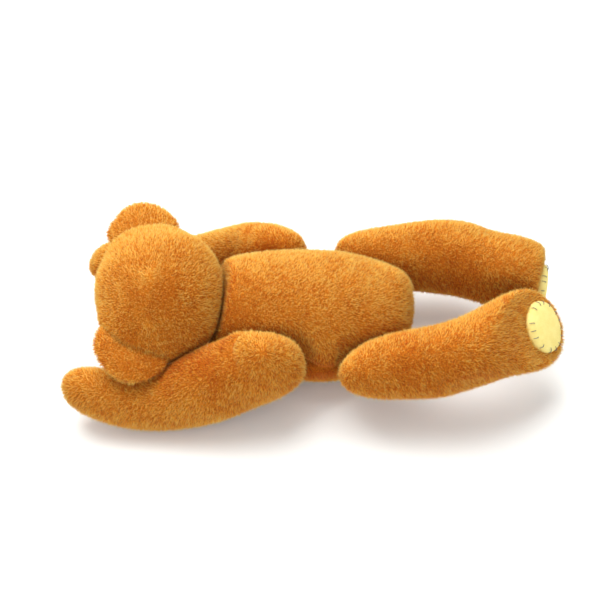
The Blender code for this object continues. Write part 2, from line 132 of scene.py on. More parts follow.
def speckleGroup():
    # Colour that drifts in patches, with finer specks on top
    tree, given, result = newGroup(
        "speckle", "ShaderNodeTree",
        {"Vector": ("Vector",), "Color": ("Colour", "Other Colour"),
         "Float": ("Patch Scale", "Speck Scale", "Speck Strength")},
        {"Color": ("Colour",), "Float": ("Height",)})
    patch = noise(tree, given["Vector"], given["Patch Scale"], 3.0, 0.6)
    speck = noise(tree, given["Vector"], given["Speck Scale"], 2.0, 0.7)
    colour = mixed(tree, remapped(tree, patch, 0.35, 0.65), given["Colour"], given["Other Colour"])
    dark = maths(tree, "SUBTRACT", 1.0, remapped(tree, speck, 0.3, 0.6))
    dark = maths(tree, "MULTIPLY", dark, given["Speck Strength"])
    tree.links.new(mixed(tree, dark, colour, (0.0, 0.0, 0.0, 1.0)), result["Colour"])
    tree.links.new(speck, result["Height"])
    return tree


speckle = speckleGroup()


def specklyMaterial(name, colour, other, roughness, patch, speck, strength, bump=0.3, **more):
    material, tree, shader = newMaterial(name, roughness, **more)
    coords = addNode(tree, "ShaderNodeTexCoord").outputs["Object"]
    found = addNode(tree, "ShaderNodeGroup", {
        "Vector": coords, "Colour": (*colour, 1.0), "Other Colour": (*other, 1.0),
        "Patch Scale": patch, "Speck Scale": speck, "Speck Strength": strength},
        node_tree=speckle).outputs
    tree.links.new(found["Colour"], shader.inputs["Base Color"])
    raised = addNode(tree, "ShaderNodeBump", {
        "Height": found["Height"], "Strength": bump, "Distance": 0.1 * mm})
    tree.links.new(raised.outputs["Normal"], shader.inputs["Normal"])
    return material


# Pile: colours at the root, in the middle and at the tip of each kind of strand
pileLook = {
    "dark": ((0.2, 0.018, 0.001), (0.6, 0.088, 0.002), (0.86, 0.2, 0.006)),
    "pale": ((0.56, 0.095, 0.004), (1.0, 0.385, 0.022), (1.0, 0.61, 0.085)),
    "bleached": ((0.9, 0.34, 0.026), (1.0, 0.6, 0.09), (1.0, 0.82, 0.28)), "paleAt": 0.75,
    "middleAt": 0.35, "roughness": 0.6, "specular": 0.12, "sheen": 0.5, "sheenRoughness": 0.5,
    "sheenTint": (1.0, 0.62, 0.2),
}


def pileMaterial():
    look = pileLook
    material, tree, shader = newMaterial(
        "golden plush pile", look["roughness"], specular=look["specular"])
    parts = partsOf(tree, addNode(tree, "ShaderNodeUVMap", uv_map="OFBake").outputs["UV"])
    colours = []
    for kind in ("dark", "pale", "bleached"):
        stops = zip((0.0, look["middleAt"], 1.0), look[kind])
        colours.append(ramp(tree, parts["Y"], tuple(stops)))
    toPale = remapped(tree, parts["X"], 0.0, look["paleAt"])
    toBleached = remapped(tree, parts["X"], look["paleAt"], 1.0)
    colour = mixed(tree, toBleached, mixed(tree, toPale, colours[0], colours[1]), colours[2])
    tree.links.new(colour, shader.inputs["Base Color"])
    shader.inputs["Sheen Weight"].default_value = look["sheen"]
    shader.inputs["Sheen Roughness"].default_value = look["sheenRoughness"]
    shader.inputs["Sheen Tint"].default_value = (*look["sheenTint"], 1.0)
    return material


pile = pileMaterial()
backing = specklyMaterial(
    "golden plush backing", (0.75, 0.25, 0.02), (0.6, 0.17, 0.012), 0.95, 250, 3000, 0.4, 0.6, specular=0.1)
felt = specklyMaterial(
    "yellow felt", (0.95, 0.8, 0.29), (0.91, 0.74, 0.24), 0.95, 350, 4500, 0.08, 0.4, specular=0.1)
stitchThread = specklyMaterial(
    "grey stitching thread", (0.17, 0.15, 0.18), (0.1, 0.09, 0.11), 0.8, 900, 6000, 0.3, 0.4)
blackThread = specklyMaterial(
    "black embroidery thread", (0.022, 0.018, 0.017), (0.012, 0.01, 0.01), 0.55, 900, 6000, 0.3, 0.4)
woodWool = specklyMaterial(
    "wood wool", (0.72, 0.56, 0.34), (0.58, 0.42, 0.24), 0.9, 500, 2500, 0.5, 0.9)
hardboard = specklyMaterial(
    "hardboard", (0.3, 0.17, 0.08), (0.22, 0.12, 0.055), 0.75, 600, 5000, 0.35, 0.3)
platedSteel = specklyMaterial(
    "plated steel", (0.62, 0.61, 0.58), (0.5, 0.48, 0.44), 0.35, 700, 4000, 0.15, 0.1, metallic=1.0)
blackGlass = specklyMaterial(
    "black glass", (0.012, 0.009, 0.008), (0.02, 0.012, 0.008), 0.06, 300, 2500, 0.1, 0.02)
print("materials made")


# Places of the joints, and the soft forms' stations in millimetres:
# along the piece, out from its joint, up, half thickness outwards, half width upwards
bodyForm = {
    "at": (-0.9, -2.5, 0), "sides": 12,
    "stations": (
        (-29, 0, 20.6, 0, 0), (-27.5, 0, 20.3, 7.7, 7.7), (-22, 0, 19, 12.6, 12.4),
        (-12, 0, 17.3, 15.4, 15.1), (-2, 0, 15.8, 16.8, 16.6), (8, 0, 15.5, 16.4, 16.4),
        (17, 0, 16.3, 13.9, 13.7), (23.5, 0, 17.3, 8.9, 8.9), (26, 0, 17.8, 0, 0),
    ),
    "dishes": {"left_shoulder": 10.4, "right_shoulder": 10.4, "left_hip": 8.4, "right_hip": 8.4},
    "seam": {"height": 13.5, "from": -12, "to": 13, "depth": 1, "width": 0.9, "step": 0.3},
}
headForm = {
    "sides": 12, "turn": 20, "centre": 14.2,
    "stations": (
        (-16.6, 0, 0, 0, 0), (-14.4, 0, 0, 8.7, 8.7), (-8.5, 0, 0, 14.6, 14.6), (0, 0, 0, 16.6, 16.8),
        (7.5, -0.7, 0, 15.3, 15.9), (13.5, -1.6, 0, 10.6, 11.2), (19.4, -2.6, 0, 7.9, 8.1),
        (24.8, -3, 0, 6.2, 6.4), (27.5, -3, 0, 0, 0),
    ),
}
earForm = {
    "crown": 5.2, "side": 14.8, "back": 1, "radius": 8.7, "halfThickness": 2.6, "hollow": 1.3,
    "sides": 20, "rings": 14, "detail": 2, "thinnerBy": 0.6, "rootGap": 0.1, "filletWithin": 6,
    "filletReach": 2.8, "filletRise": 1.3,
}
armForm = {
    "sides": 10, "ahead": -1,
    "stations": (
        (-11, 5.4, 0, 0, 0), (-9.6, 5.4, 0, 4.8, 6.2), (-4, 5.4, 0.2, 7.2, 9.7), (3, 6, 0.2, 7.4, 10.5),
        (10, 7.8, -1.9, 6.8, 9.9), (18, 8.3, -3.4, 6.8, 9.4), (27, 8, -4.6, 7, 8.1),
        (36, 7.5, -2.4, 6.7, 7.9), (43, 6.8, 1.6, 5.8, 7.5), (47.2, 6.4, 2.8, 4, 5),
        (48.7, 6.2, 3.2, 0, 0),
    ),
    "rise": {"left": -12.7, "right": -12},
}
legForm = {
    "sides": 10, "ahead": 1,
    "stations": (
        (-11.8, 6.2, 0, 0, 0), (-10, 6.2, 0, 3.9, 4.5), (-4.5, 6.2, 0, 6.6, 7.2),
        (3, 6.8, -0.2, 7.7, 8.5), (12, 9, 0.2, 8.7, 9.4), (22, 10.7, 1.1, 9.2, 10.3),
        (29.5, 8.4, 2.7, 8.3, 8.9), (36.8, 8, 1.4, 9.8, 11.2), (44.6, 7.7, 0.7, 8.9, 9.7),
        (49, 7.6, 0.4, 5.2, 5.9), (50.8, 7.6, 0.2, 0, 0),
    ),
    "rise": {"left": 5.5, "right": -0.4}, "fullness": {"left": 1, "right": 1.03},
    "reach": {"left": 0.975, "right": 0.965},
}
soles = {
    "left": {"at": (55.1, -9.6, 21.7), "up": 39.0, "towardsLeft": 30.0},
    "right": {"at": (58.0, 8.6, 16.8), "up": 4.0, "towardsLeft": 16.0},
}
skinFit = {
    "inset": 0.8, "jointGap": 0.15, "rolledEdge": 0.9, "rolledSole": 2.0, "tableEdge": 0.7,
    "dishEdge": 1.2, "detail": 3, "bodyDetail": 4, "lobeReach": 0.7,
}


def axes(outward, along):
    z = outward.normalized()
    x = (along - z * along.dot(z)).normalized()
    return Matrix((x, z.cross(x), z)).transposed()


def placeOf(at, outward, along):
    return Matrix.LocRotScale(at, axes(outward, along), None)


def jointOf(name):
    found = next(joint for joint in frame["joints"] if joint["name"] == name)
    return Vector(found["pos_m"]), Vector(found["axis"]).normalized()


def limbPlace(jointName, form, side):
    at, outward = jointOf(jointName)
    level = (ahead - outward * ahead.dot(outward)).normalized() * form["ahead"]
    rise = math.radians(form["rise"][side])
    return placeOf(at, outward, level * math.cos(rise) + up * math.sin(rise))


def headPlace():
    at, outward = jointOf("neck")
    tilt = math.asin(outward.z)
    face = Vector((-math.sin(tilt), 0.0, -math.cos(tilt)))
    face.rotate(Matrix.Rotation(math.radians(-headForm["turn"]), 3, outward))
    return placeOf(at, outward, face)


def solePlace(side, depth):
    # Z out of the sole, X towards the toes
    sole = soles[side]
    rise, turn = math.radians(sole["up"]), math.radians(sole["towardsLeft"])
    normal = Vector((
        math.cos(rise) * math.cos(turn), -math.cos(rise) * math.sin(turn), math.sin(rise)))
    at = (Vector(bodyForm["at"]) + Vector(sole["at"])) * mm
    return placeOf(at - normal * depth * mm, normal, -up)


# Skins: the cloth under the pile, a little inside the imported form

def newObject(name, mesh):
    piece = bpy.data.objects.new(name, mesh)
    bpy.context.scene.collection.objects.link(piece)
    return piece


def settle(piece):
    # The piece as its modifiers leave it, with a mesh of its own
    bpy.context.view_layer.update()
    graph = bpy.context.evaluated_depsgraph_get()
    mesh = bpy.data.meshes.new_from_object(piece.evaluated_get(graph))
    mesh.name = piece.name
    piece.modifiers.clear()
    piece.data = mesh
    return piece


def pointsOf(mesh):
    co = np.zeros(len(mesh.vertices) * 3)
    mesh.vertices.foreach_get("co", co)
    return co.reshape(-1, 3)


def setPoints(mesh, co):
    mesh.vertices.foreach_set("co", np.ascontiguousarray(co, dtype=np.float32).ravel())
    mesh.update()


def faceOut(shape):
    # All faces look outwards, also where the outermost one is seen edge-on
    bmesh.ops.recalc_face_normals(shape, faces=shape.faces[:])
    if shape.calc_volume(signed=True) < 0.0:
        bmesh.ops.reverse_faces(shape, faces=shape.faces[:])


def meshOf(shape, name):
    mesh = bpy.data.meshes.new(name)
    shape.to_mesh(mesh)
    shape.free()
    return mesh


def joinRings(shape, rings):
    # Faces between each ring and the next, also where one of them is a single point
    for first, second in zip(rings, rings[1:]):
        sides = max(len(first), len(second))
        for step in range(sides):
            after = (step + 1) % sides
            corners = (first[step % len(first)], first[after % len(first)],
                       second[after % len(second)], second[step % len(second)])
            shape.faces.new(tuple(dict.fromkeys(corners)))


def ballSkin(name, rings, detail):
    # A smoothed bag through rings of points, which begin and end in a single point;
    # its points and faces come in the same order each run, and with them the pile
    cage = bmesh.new()
    joinRings(cage, [[cage.verts.new(point) for point in ring] for ring in rings])
    faceOut(cage)
    skin = newObject(name, meshOf(cage, name))
    smoother = skin.modifiers.new("smooth", "SUBSURF")
    smoother.levels = detail
    smoother.render_levels = detail
    settle(skin)
    skin.data.materials.append(backing)
    skin.data.shade_smooth()
    return skin


def roundRing(sides):
    # Angles round a ring, from the top
    return [0.5 * math.pi + 2.0 * math.pi * step / sides for step in range(sides)]


def softSkin(name, place, stations, sides, detail, hand=1.0):
    # Rings at the stations, drawn in by the inset and then smoothed
    first, last, inset = stations[0][0], stations[-1][0], skinFit["inset"]
    drawnIn = (2.0 + math.cos(2.0 * math.pi / sides)) / 3.0  # smoothing draws a ring in by this
    middle = 0.5 * (first + last)
    shorter = 1.0 - inset / (0.5 * (last - first))
    rings = []
    for along, out, rise, halfOut, halfUp in stations:
        halfOut = max(0.0, halfOut - inset) / drawnIn
        halfUp = max(0.0, halfUp - inset) / drawnIn
        ring = []
        for around in roundRing(sides if halfOut > 0.0 else 1):
            local = Vector((
                middle + (along - middle) * shorter,
                hand * (rise + halfUp * math.sin(around)),
                out + halfOut * math.cos(around)))
            ring.append(place @ (local * mm))
        rings.append(ring)
    return ballSkin(name, rings, detail)


def setAttribute(mesh, name, values):
    values = np.ascontiguousarray(values, dtype=np.float32)
    kind, field = ("FLOAT", "value") if values.ndim == 1 else ("FLOAT_VECTOR", "vector")
    found = mesh.attributes.get(name) or mesh.attributes.new(name, kind, "POINT")
    found.data.foreach_set(field, values.ravel())


def getAttribute(mesh, name):
    values = np.zeros(len(mesh.vertices))
    if name in mesh.attributes:
        mesh.attributes[name].data.foreach_get("value", values)
    return values


def normalsOf(mesh):
    normals = np.zeros(len(mesh.vertices) * 3)
    mesh.vertices.foreach_get("normal", normals)
    return normals.reshape(-1, 3)


def softLimit(depth, rounding):
    # Follows depth up to just below zero, then stays at zero
    near = np.clip(depth + rounding, 0.0, 2.0 * rounding)
    return np.where(depth < rounding, depth - near ** 2 / (4.0 * rounding), 0.0)


def pressFlat(co, point, normal, rounding):
    # What lies beyond the plane is pressed back to it, with a rolled edge
    normal = np.array(normal)
    depth = (co - np.array(point)) @ normal
    return co + np.outer(softLimit(depth, rounding) - depth, normal)


def pressJoint(co, at, away):
    # The end that turns against the next piece is flat
    face = at - away * (skinFit["jointGap"] + skinFit["inset"]) * mm
    return pressFlat(co, face, away, skinFit["rolledEdge"] * mm)


def pressTable(co):
    return pressFlat(co, up * skinFit["inset"] * mm, -up, skinFit["tableEdge"] * mm)


def pressDish(co, place, radius):
    # A limb's joint draws the body's side in to a shallow dish
    normal = np.array(place.to_3x3().col[2])
    offset = co - np.array(place.translation)
    height = offset @ normal
    away = np.linalg.norm(offset - np.outer(height, normal), axis=1)
    rounding = skinFit["dishEdge"] * mm
    flare = np.maximum(0.0, away - radius)
    flare = flare ** 2 / (flare + rounding)
    limit = flare - (skinFit["jointGap"] + skinFit["inset"]) * mm
    lowered = limit + softLimit(height - limit, rounding)
    return co + np.outer(lowered - height, normal)


def limbSkin(name, place, form, side):
    hand = 1.0 if place.to_3x3().col[1].z > 0.0 else -1.0
    fullness = form.get("fullness", {}).get(side, 1.0)
    reach = form.get("reach", {}).get(side, 1.0)
    stations = []
    for along, out, rise, halfOut, halfUp in form["stations"]:
        out += halfOut * (fullness - 1.0)
        stations.append((along * reach, out, rise, halfOut * fullness, halfUp * fullness))
    skin = softSkin(name, place, stations, form["sides"], skinFit["detail"], hand)
    co = pressJoint(pointsOf(skin.data), place.translation, -place.to_3x3().col[2])
    if form is legForm:
        sole = solePlace(side, skinFit["inset"])
        co = pressFlat(co, sole.translation, sole.to_3x3().col[2], skinFit["rolledSole"] * mm)
    setPoints(skin.data, pressTable(co))
    return skin


def treeOf(skin):
    faces = [face.vertices[:] for face in skin.data.polygons]
    return BVHTree.FromPolygons([vert.co for vert in skin.data.vertices], faces)


def awayFrom(co, line):
    # How far each point lies from the nearest point of a line
    line = np.array(line)
    square = (co ** 2).sum(1)[:, None] + (line ** 2).sum(1)[None, :] - 2.0 * co @ line.T
    return np.sqrt(np.maximum(square.min(axis=1), 0.0))


def fromCentre(co, centre):
    # The way from a place in millimetres to each point, and how far it is
    out = co - np.array(centre) * mm
    return out, np.linalg.norm(out, axis=1)


def falloff(away, reach):
    return np.exp(-(away / (reach * mm)) ** 2)


def drawIn(skin, share, depth):
    # The cloth is drawn in by this share of the depth, and its pile is short there
    co = pointsOf(skin.data)
    setPoints(skin.data, co - normalsOf(skin.data) * (share * depth)[:, None])
    setAttribute(skin.data, "seam", share)


def filletRoots(headSkin, ears):
    # The head rises a little towards each ear's root, so the ear grows out of it
    co = pointsOf(headSkin.data)
    rise = np.zeros(len(co))
    for tree in ears:
        for index, point in enumerate(co):
            away = tree.find_nearest(point, earForm["filletWithin"] * mm)[3]
            if away is not None:
                rise[index] = max(rise[index], math.exp(-(away / (earForm["filletReach"] * mm)) ** 2))
    lift = rise * earForm["filletRise"] * mm
    setPoints(headSkin.data, co + normalsOf(headSkin.data) * lift[:, None])


def easeMoves(skin, moves):
    # Soft local moves, as fingers would push the stuffing about
    co = pointsOf(skin.data)
    moved = co.copy()
    for centre, reach, shift in moves:
        moved += np.outer(falloff(fromCentre(co, centre)[1], reach), np.array(shift) * mm)
    moved[:, 2] = np.maximum(moved[:, 2], co[:, 2].min())
    setPoints(skin.data, moved)


def foldLobe(skin, lobe):
    # The top of the arm bulges as a round lobe, with a fold along one side of its border
    co = pointsOf(skin.data)
    out, away = fromCentre(co, lobe["centre"])
    side = out @ np.array(Vector(lobe["side"]).normalized()) / np.maximum(away, 0.001 * mm)
    side = np.clip((side - lobe["sideFrom"]) / (1.0 - lobe["sideFrom"]), 0.0, 1.0) ** 0.5
    share = side * np.exp(-((away / mm - lobe["radius"]) / lobe["width"]) ** 2)
    bulge = lobe["bulge"] * mm * falloff(away, skinFit["lobeReach"] * lobe["radius"])
    setPoints(skin.data, co + normalsOf(skin.data) * bulge[:, None])
    # the fold's share also darkens the pile there, as painted shade in the fold
    drawIn(skin, share, lobe["depth"] * mm)


def makeBody():
    form = bodyForm
    place = placeOf(Vector(form["at"]) * mm, Vector((0.0, -1.0, 0.0)), ahead)
    skin = softSkin("body_skin", place, form["stations"], form["sides"], skinFit["bodyDetail"])
    co = pressJoint(pointsOf(skin.data), *jointOf("neck"))
    for jointName, radius in form["dishes"].items():
        co = pressDish(co, placeOf(*jointOf(jointName), ahead), radius * mm)
    setPoints(skin.data, pressTable(co))
    # the seams run along both sides, level with one another
    tree, seam, line = treeOf(skin), form["seam"], []
    middle = Vector(form["at"]) + up * seam["height"]
    for sideways in (-1.0, 1.0):
        for along in np.arange(seam["from"], seam["to"], seam["step"]):
            start = (middle + ahead * float(along)) * mm
            point = tree.ray_cast(start, Vector((0.0, sideways, 0.0)))[0]
            if point is not None:
                line.append(point)
    share = falloff(awayFrom(pointsOf(skin.data), line), seam["width"])
    drawIn(skin, share, seam["depth"] * mm)
    return skin


def makeHead():
    form, place = headForm, headPlace()
    stations = [(along, out + form["centre"], rise, halfOut, halfUp)
                for along, out, rise, halfOut, halfUp in form["stations"]]
    skin = softSkin("head_skin", place, stations, form["sides"], skinFit["bodyDetail"])
    co = pressJoint(pointsOf(skin.data), place.translation, -place.to_3x3().col[2])
    setPoints(skin.data, pressTable(co))
    return skin


def makeEar(side, headSkin):
    # A flat bag of cloth, hollowed in front, its root pressed against the head
    form, place, inset = earForm, headPlace(), skinFit["inset"]
    hand = 1.0 if (place.to_3x3().col[1].y > 0.0) == (side == "right") else -1.0
    middle = Vector((-form["back"], hand * form["side"], headForm["centre"] + form["crown"]))
    local = place @ Matrix.Translation(middle * mm) @ Matrix.Rotation(math.radians(90.0), 4, "Y")
    radius, thick = form["radius"] - inset, form["halfThickness"] - form["thinnerBy"] * inset
    rings = []
    for step in range(form["rings"] + 1):
        polar = math.pi * step / form["rings"]
        across = math.sin(polar)
        height = thick * math.cos(polar)
        if height > 0.0:
            height -= form["hollow"] * (1.0 - across ** 2) ** 2
        out = across * radius
        rings.append([
            local @ (Vector((out * math.cos(around), out * math.sin(around), height)) * mm)
            for around in roundRing(form["sides"] if 0 < step < form["rings"] else 1)])
    ear = ballSkin(side + "_ear_skin", rings, form["detail"])
    tree, gap = treeOf(headSkin), form["rootGap"] * mm
    for vert in ear.data.vertices:
        near, normal, _, _ = tree.find_nearest(vert.co)
        if (vert.co - near).dot(normal) < gap:
            vert.co = near + normal * gap
    return ear


lobes = {
    "left_arm": {
        "centre": (-13.2, -24.2, 26.8), "radius": 6.4, "side": (-0.82, 0.4, 0.4),
        "sideFrom": 0.1, "width": 0.9, "depth": 1.1, "bulge": 0.5},
    "right_arm": {
        "centre": (-10.6, 13.7, 25.5), "radius": 7.6, "side": (-1.0, 0.0, -0.2),
        "sideFrom": 0.2, "width": 0.9, "depth": 0.45, "bulge": 0.2},
}
# Place, reach and shift of each soft move, in millimetres
moves = {
    "body": (((-25.6, -10.4, 14.7), 5, (-1, -1, 0)), ((4.5, 4, 31), 5, (0.4, 0.2, 0.3)),
        ((21.5, 0, 27), 5.5, (1.3, 0.4, 1.1))),
    "head": (((-25.5, -19, 22), 8, (1, -1, -0.6)), ((-43.5, -17, 28), 5, (-0.2, -0.8, 0.6)),
        ((-55, -9, 24), 8, (0.5, 0, 0)), ((-29, 2, 33), 5, (0.3, 0.3, 0.4))),
    "left_ear": (((-49.4, -20, 25.8), 6, (-0.9, 0, 0)), ((-42.2, -26.3, 20.4), 7, (0, -0.9, -0.7)),
        ((-36.5, -22.5, 20.5), 4, (1.5, -0.1, -0.1))),
    "right_ear": (((-41.9, 13.7, 36.7), 8, (0, 0.4, 0.4)), ((-50, 7, 32.5), 4, (-2.2, 0, 0)),
        ((-35, 11, 35), 4, (1, 0.2, 0.2))),
    "left_arm": (((-54, -21, 15.8), 7, (0, 0.4, 0.4)), ((-38, -31, 7), 16, (0, 0.6, 0.3)),
        ((-28, -19, 20), 8, (0, 1, 0.9)), ((-25, -17, 20), 5, (-0.3, 1, 0.8)),
        ((-4, -29, 12), 7, (0, 0.5, 0.3)), ((-33, -21.5, 18), 5, (0, 0.5, 0.6)),
        ((-17.5, -19, 26.5), 4, (-0.4, 0.2, 1.8))),
    "right_arm": (((-57, 20.7, 12.4), 9, (-1.6, -2.2, -0.8)), ((-58, 23.6, 14.9), 4.5, (0.2, -1, -1)),
        ((-4.3, 16.3, 24.2), 5, (0.5, 0.2, 0.2))),
    "left_leg": (((30, -17, 26.5), 9, (0, -0.45, -0.4)), ((37, -28, 17), 5.5, (0, 1.6, 1.5)),
        ((48.7, -23.5, 15), 5, (0, -0.9, -0.9)), ((18, -29, 12), 12, (0, -0.5, -0.1)),
        ((57, -15, 19), 8, (0.7, 0, 0))),
    "right_leg": (((27, 20, 26), 12, (0, 0.7, 0.7)), ((7, 17, 22.6), 5, (-0.4, 0.1, 0.1)),
        ((48, 10, 30), 10, (0, -0.4, -0.4)), ((27, 7, 14), 6, (0, 0.4, 0.5)),
        ((41, 5, 13.5), 5, (0, -0.5, -0.4)), ((54.5, 7, 27), 5, (0.5, 0, 0))),
}
limbs = {"arm": ("shoulder", armForm), "leg": ("hip", legForm)}
skins = {"body": makeBody(), "head": makeHead()}
napWays = {"body": ahead, "head": -headPlace().to_3x3().col[0]}
for side in ("left", "right"):
    skins[side + "_ear"] = makeEar(side, skins["head"])
    napWays[side + "_ear"] = headPlace().to_3x3().col[2]
    for limb, (joint, form) in limbs.items():
        part, place = f"{side}_{limb}", limbPlace(f"{side}_{joint}", form, side)
        skins[part] = limbSkin(part + "_skin", place, form, side)
        napWays[part] = place.to_3x3().col[0]
for part, skin in skins.items():
    easeMoves(skin, moves.get(part, ()))
filletRoots(skins["head"], [treeOf(skins["left_ear"]), treeOf(skins["right_ear"])])
for part, skin in skins.items():
    if part in lobes:
        foldLobe(skin, lobes[part])
print("skins made:", ", ".join(sorted(skins)))


# Foot pads of felt, each with its whip stitches

padForm = {
    "length": 12.4, "width": 11.8, "crown": 2.7, "edge": 1.5, "sunk": 0.8, "steps": 64, "rings": 10,
    "rim": ((1.03, 0.7), (1.03, 0.3), (0.98, 0.0), (0.0, 0.0)),
    "waves": ((0.012, 3.0, 0.7), (0.008, 7.0, 0.0)), "merge": 0.00001,
}


def makePad(side):
    # A domed outline turned once round, then stretched to the sole
    form, place, name = padForm, solePlace(side, padForm["sunk"]), side + "_felt_pad"
    shape = bmesh.new()
    outline = [(0.0, form["crown"])]
    for step in range(1, form["rings"] + 1):
        angle = 0.5 * math.pi * (1.0 - step / form["rings"])
        rise = form["edge"] + (form["crown"] - form["edge"]) * math.sin(angle)
        outline.append((math.cos(angle), rise))
    outline += [(radius, share * form["edge"]) for radius, share in form["rim"]]
    verts = [shape.verts.new((radius, 0.0, height)) for radius, height in outline]
    for first, second in zip(verts, verts[1:]):
        shape.edges.new((first, second))
    pad = newObject(name, meshOf(shape, name))
    turn = pad.modifiers.new("turn", "SCREW")
    turn.steps = form["steps"]
    turn.render_steps = form["steps"]
    turn.use_merge_vertices = True
    turn.merge_threshold = form["merge"]
    settle(pad)
    solid = bmesh.new()
    solid.from_mesh(pad.data)
    bmesh.ops.remove_doubles(solid, verts=solid.verts[:], dist=form["merge"])
    for vert in solid.verts:
        around, wobble = math.atan2(vert.co.y, vert.co.x), 1.0
        for size, times, start in form["waves"]:
            wobble += size * math.sin(times * around + start)
        half = 0.5 * wobble
        vert.co = place @ (Vector((
            vert.co.x * form["length"] * half, vert.co.y * form["width"] * half, vert.co.z)) * mm)
    faceOut(solid)
    solid.to_mesh(pad.data)
    solid.free()
    pad.data.materials.append(felt)
    pad.data.shade_smooth()
    return pad


pads = {side: makePad(side) for side in ("left", "right")}
print("felt pads made")


# Whip stitches of dark thread that hold each pad's edge

stitchForm = {
    "perPad": 15, "ringAt": 0.95, "halfLength": 0.85, "thickness": 0.17, "arch": 0.3, "drop": 1.6,
    "taper": 0.35, "sides": 5, "steps": 6, "turn": 0.5, "sizeVariation": 0.25, "unevenness": 0.35,
    "firstSeed": 5, "firstDraw": 3,
}


def makeStitch():
    # One arched stitch along X, its ends in the felt and in the plush
    form, shape, rings = stitchForm, bmesh.new(), []
    half, arch = form["halfLength"] * mm, form["arch"] * mm
    for step in range(form["steps"] + 1):
        share = 2.0 * step / form["steps"] - 1.0
        height = arch * (1.0 - form["drop"] * share ** 2)
        slope = -2.0 * form["drop"] * arch * share / half
        rise = Vector((-slope, 0.0, 1.0)).normalized()
        radius = 0.5 * form["thickness"] * mm * (1.0 - form["taper"] * share ** 4)
        ring = []
        for side in range(form["sides"]):
            angle = 2.0 * math.pi * side / form["sides"]
            offset = rise * math.cos(angle) + Vector((0.0, 1.0, 0.0)) * math.sin(angle)
            ring.append(shape.verts.new(Vector((share * half, 0.0, height)) + offset * radius))
        rings.append(ring)
    joinRings(shape, rings)
    shape.faces.new(rings[0][::-1])
    shape.faces.new(rings[-1])
    faceOut(shape)
    mesh = meshOf(shape, "stitch")
    mesh.shade_smooth()
    return newObject("stitch", mesh)


# Parts of the node trees that sew and grow

def namedField(tree, name, kind="FLOAT"):
    return addNode(tree, "GeometryNodeInputNamedAttribute", {"Name": name}, data_type=kind).outputs[0]


def drawn(tree, low, high, seed):
    # A random number for each point
    values = {2: low, 3: high, "Seed": seed}
    return addNode(tree, "FunctionNodeRandomValue", values, data_type="FLOAT").outputs[1]


def spun(tree, rotation, angle):
    # Turned about its own Z
    spin = addNode(tree, "FunctionNodeAxisAngleToRotation", {"Axis": (0.0, 0.0, 1.0), "Angle": angle})
    values = {"Rotation": rotation, "Rotate By": spin.outputs[0]}
    return addNode(tree, "FunctionNodeRotateRotation", values, rotation_space="LOCAL").outputs[0]


def setOut(tree, points, model, rotation, scale):
    # The model at every point, as real geometry
    shape = addNode(tree, "GeometryNodeObjectInfo", {"Object": model}).outputs["Geometry"]
    placed = addNode(tree, "GeometryNodeInstanceOnPoints", {
        "Points": points, "Instance": shape, "Rotation": rotation, "Scale": scale})
    return addNode(tree, "GeometryNodeRealizeInstances", {"Geometry": placed.outputs[0]}).outputs[0]


def finishTree(tree, geometry, given, result):
    coloured = addNode(tree, "GeometryNodeSetMaterial", {
        "Geometry": geometry, "Material": given["Material"]})
    tree.links.new(coloured.outputs[0], result["Geometry"])
    return tree


def stitchTree():
    tree, given, result = newGroup(
        "whip stitches", "GeometryNodeTree",
        {"Geometry": ("Line",), "Object": ("Stitch",), "Material": ("Material",),
         "Float": ("Turn", "Size Variation"), "Int": ("Seed",)},
        {"Geometry": ("Geometry",)})
    spots = addNode(tree, "GeometryNodeMeshToPoints", {"Mesh": given["Line"]}).outputs[0]
    turned = addNode(tree, "FunctionNodeAlignRotationToVector", {
        "Vector": namedField(tree, "face", "FLOAT_VECTOR")}, axis="Z").outputs[0]
    turned = addNode(tree, "FunctionNodeAlignRotationToVector", {
        "Rotation": turned, "Vector": namedField(tree, "across", "FLOAT_VECTOR")},
        axis="X", pivot_axis="Z").outputs[0]
    most = maths(tree, "MULTIPLY", given["Turn"], 0.5)
    spin = drawn(tree, maths(tree, "MULTIPLY", most, -1.0), most, given["Seed"])
    smallest = maths(tree, "SUBTRACT", 1.0, given["Size Variation"])
    size = drawn(tree, smallest, 1.0, maths(tree, "ADD", given["Seed"], 7))
    size = addNode(tree, "ShaderNodeCombineXYZ", {"X": size, "Y": 1.0, "Z": 1.0}).outputs[0]
    sewn = setOut(tree, spots, given["Stitch"], spun(tree, turned, spin), size)
    return finishTree(tree, sewn, given, result)


def stitchLine(side, seed):
    # Points round the pad's edge, with the way each stitch faces and crosses
    form, place, tree = stitchForm, solePlace(side, 0.0), treeOf(pads[side])
    uneven = np.random.default_rng(seed)
    points, faces, across = [], [], []
    for step in range(form["perPad"]):
        around = 2.0 * math.pi * (step + form["unevenness"] * uneven.uniform(-1.0, 1.0))
        around /= form["perPad"]
        radial = Vector((
            0.5 * padForm["length"] * math.cos(around), 0.5 * padForm["width"] * math.sin(around), 0.0))
        start = place @ ((radial * form["ringAt"] + Vector((0.0, 0.0, 5.0))) * mm)
        found, normal, _, _ = tree.ray_cast(start, -place.to_3x3().col[2])
        points.append(found)
        faces.append(normal)
        across.append(place.to_3x3() @ radial.normalized())
    mesh = bpy.data.meshes.new(side + "_pad_stitches")
    mesh.from_pydata(points, [], [])
    setAttribute(mesh, "face", faces)
    setAttribute(mesh, "across", across)
    return newObject(side + "_pad_stitches", mesh)


def groupInput(tree, label):
    return next(item.identifier for item in tree.interface.items_tree
                if item.name == label and item.in_out == "INPUT")


def growFrom(piece, tree, values):
    layer = piece.modifiers.new("grow", "NODES")
    layer.node_group = tree
    for label, value in values.items():
        layer[groupInput(tree, label)] = value
    return settle(piece)


